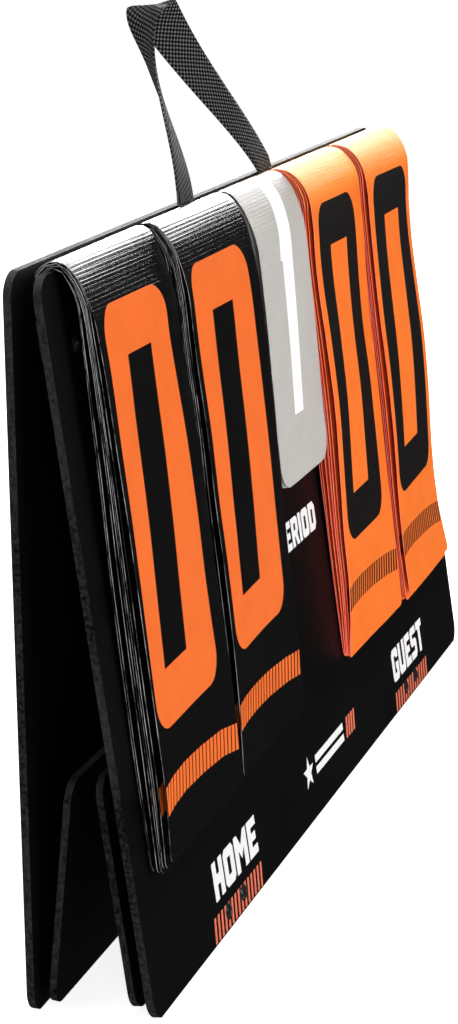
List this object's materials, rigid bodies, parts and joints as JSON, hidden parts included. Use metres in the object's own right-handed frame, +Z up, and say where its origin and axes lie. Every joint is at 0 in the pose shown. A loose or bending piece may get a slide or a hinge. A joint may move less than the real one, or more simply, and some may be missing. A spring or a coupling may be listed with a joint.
{
  "type": "flip scoreboard",
  "caption": "Folding table-top flip scoreboard: two foam boards as a narrow A-frame, bent vinyl score cards that flip, hinged inner flaps and a webbing carry handle.",
  "frame": {"origin": "on the floor, under the middle of the whole object's box", "axes": "+X along the boards to the right seen from the front, -Y towards the reader of the score, +Z up"},
  "size_m": [0.61, 0.0863, 0.46],
  "materials": {
    "foam_board": "black foam PVC board with a fine matt skin and grainy cut edges",
    "webbing": "black woven nylon webbing with a slight sheen",
    "rivet": "black painted dome rivet, worn bright at the rim",
    "clamp_plastic": "moulded black plastic",
    "vinyl_black": "black vinyl sheet, semi-gloss, finely ribbed where it bends",
    "vinyl_orange": "orange vinyl sheet, semi-gloss, finely ribbed where it bends",
    "vinyl_grey": "light grey vinyl sheet, semi-gloss"
  },
  "bodies": {
    "front_side": {"front_board": "foam_board", "tab_front_board": "webbing", "rivets_front_board": "rivet", "tab_top_front": "webbing", "rivets_top_front": "rivet", "rivets_clamps": "rivet", "arch_home_tens": "vinyl_black", "arch_home_ones": "vinyl_black", "arch_period": "vinyl_grey", "arch_guest_tens": "vinyl_orange", "arch_guest_ones": "vinyl_orange", "pack_home_tens": "vinyl_black", "pack_home_ones": "vinyl_black", "pack_period": "vinyl_grey", "pack_guest_tens": "vinyl_orange", "pack_guest_ones": "vinyl_orange", "clamp_home_tens": "clamp_plastic", "clamp_home_ones": "clamp_plastic", "clamp_period": "clamp_plastic", "clamp_guest_tens": "clamp_plastic", "clamp_guest_ones": "clamp_plastic"},
    "rear_side": {"rear_board": "foam_board", "tab_rear_board": "webbing", "rivets_rear_board": "rivet", "tab_top_rear": "webbing", "rivets_top_rear": "rivet", "handle_tails": "webbing", "rivets_handle": "rivet"},
    "front_flap": {"front_flap": "foam_board", "tab_front_flap": "webbing", "rivets_front_flap": "rivet"},
    "rear_flap": {"rear_flap": "foam_board", "tab_rear_flap": "webbing", "rivets_rear_flap": "rivet"},
    "handle": {"handle_loop": "webbing"},
    "card_home_tens": {"leaf_home_tens": "vinyl_black"},
    "card_home_ones": {"leaf_home_ones": "vinyl_black"},
    "card_period": {"leaf_period": "vinyl_grey"},
    "card_guest_tens": {"leaf_guest_tens": "vinyl_orange"},
    "card_guest_ones": {"leaf_guest_ones": "vinyl_orange"}
  },
  "joints": [
    {"name": "fold", "type": "hinge", "parent": "front_side", "child": "rear_side", "pos_m": [0, -0.00915, 0.30245], "axis": [1, 0, 0], "range_deg": [-6.5, 0]},
    {"name": "front_flap_fold", "type": "hinge", "parent": "front_side", "child": "front_flap", "pos_m": [0, -0.03427, 0.00089], "axis": [1, 0, 0], "range_deg": [0, 2.4]},
    {"name": "rear_flap_fold", "type": "hinge", "parent": "rear_side", "child": "rear_flap", "pos_m": [0, 0.01722, 0.00092], "axis": [1, 0, 0], "range_deg": [-4.7, 0]},
    {"name": "handle_swing", "type": "hinge", "parent": "rear_side", "child": "handle", "pos_m": [0, -0.00557, 0.35507], "axis": [1, 0, 0], "range_deg": [-50, 25], "stiffness_Nm_per_rad": 0.1},
    {"name": "flip_home_tens", "type": "hinge", "parent": "front_side", "child": "card_home_tens", "pos_m": [0, -0.03581, 0.34042], "axis": [1, 0, 0], "range_deg": [-175, 0]},
    {"name": "flip_home_ones", "type": "hinge", "parent": "front_side", "child": "card_home_ones", "pos_m": [0, -0.03581, 0.34042], "axis": [1, 0, 0], "range_deg": [-175, 0]},
    {"name": "flip_period", "type": "hinge", "parent": "front_side", "child": "card_period", "pos_m": [0, -0.0359, 0.33914], "axis": [1, 0, 0], "range_deg": [-175, 0]},
    {"name": "flip_guest_tens", "type": "hinge", "parent": "front_side", "child": "card_guest_tens", "pos_m": [0, -0.03581, 0.34042], "axis": [1, 0, 0], "range_deg": [-175, 0]},
    {"name": "flip_guest_ones", "type": "hinge", "parent": "front_side", "child": "card_guest_ones", "pos_m": [0, -0.03581, 0.34042], "axis": [1, 0, 0], "range_deg": [-175, 0]}
  ],
  "couplings": [
    {"joint": "front_flap_fold", "follows": "fold", "ratio": -0.36},
    {"joint": "rear_flap_fold", "follows": "fold", "ratio": 0.7}
  ]
}
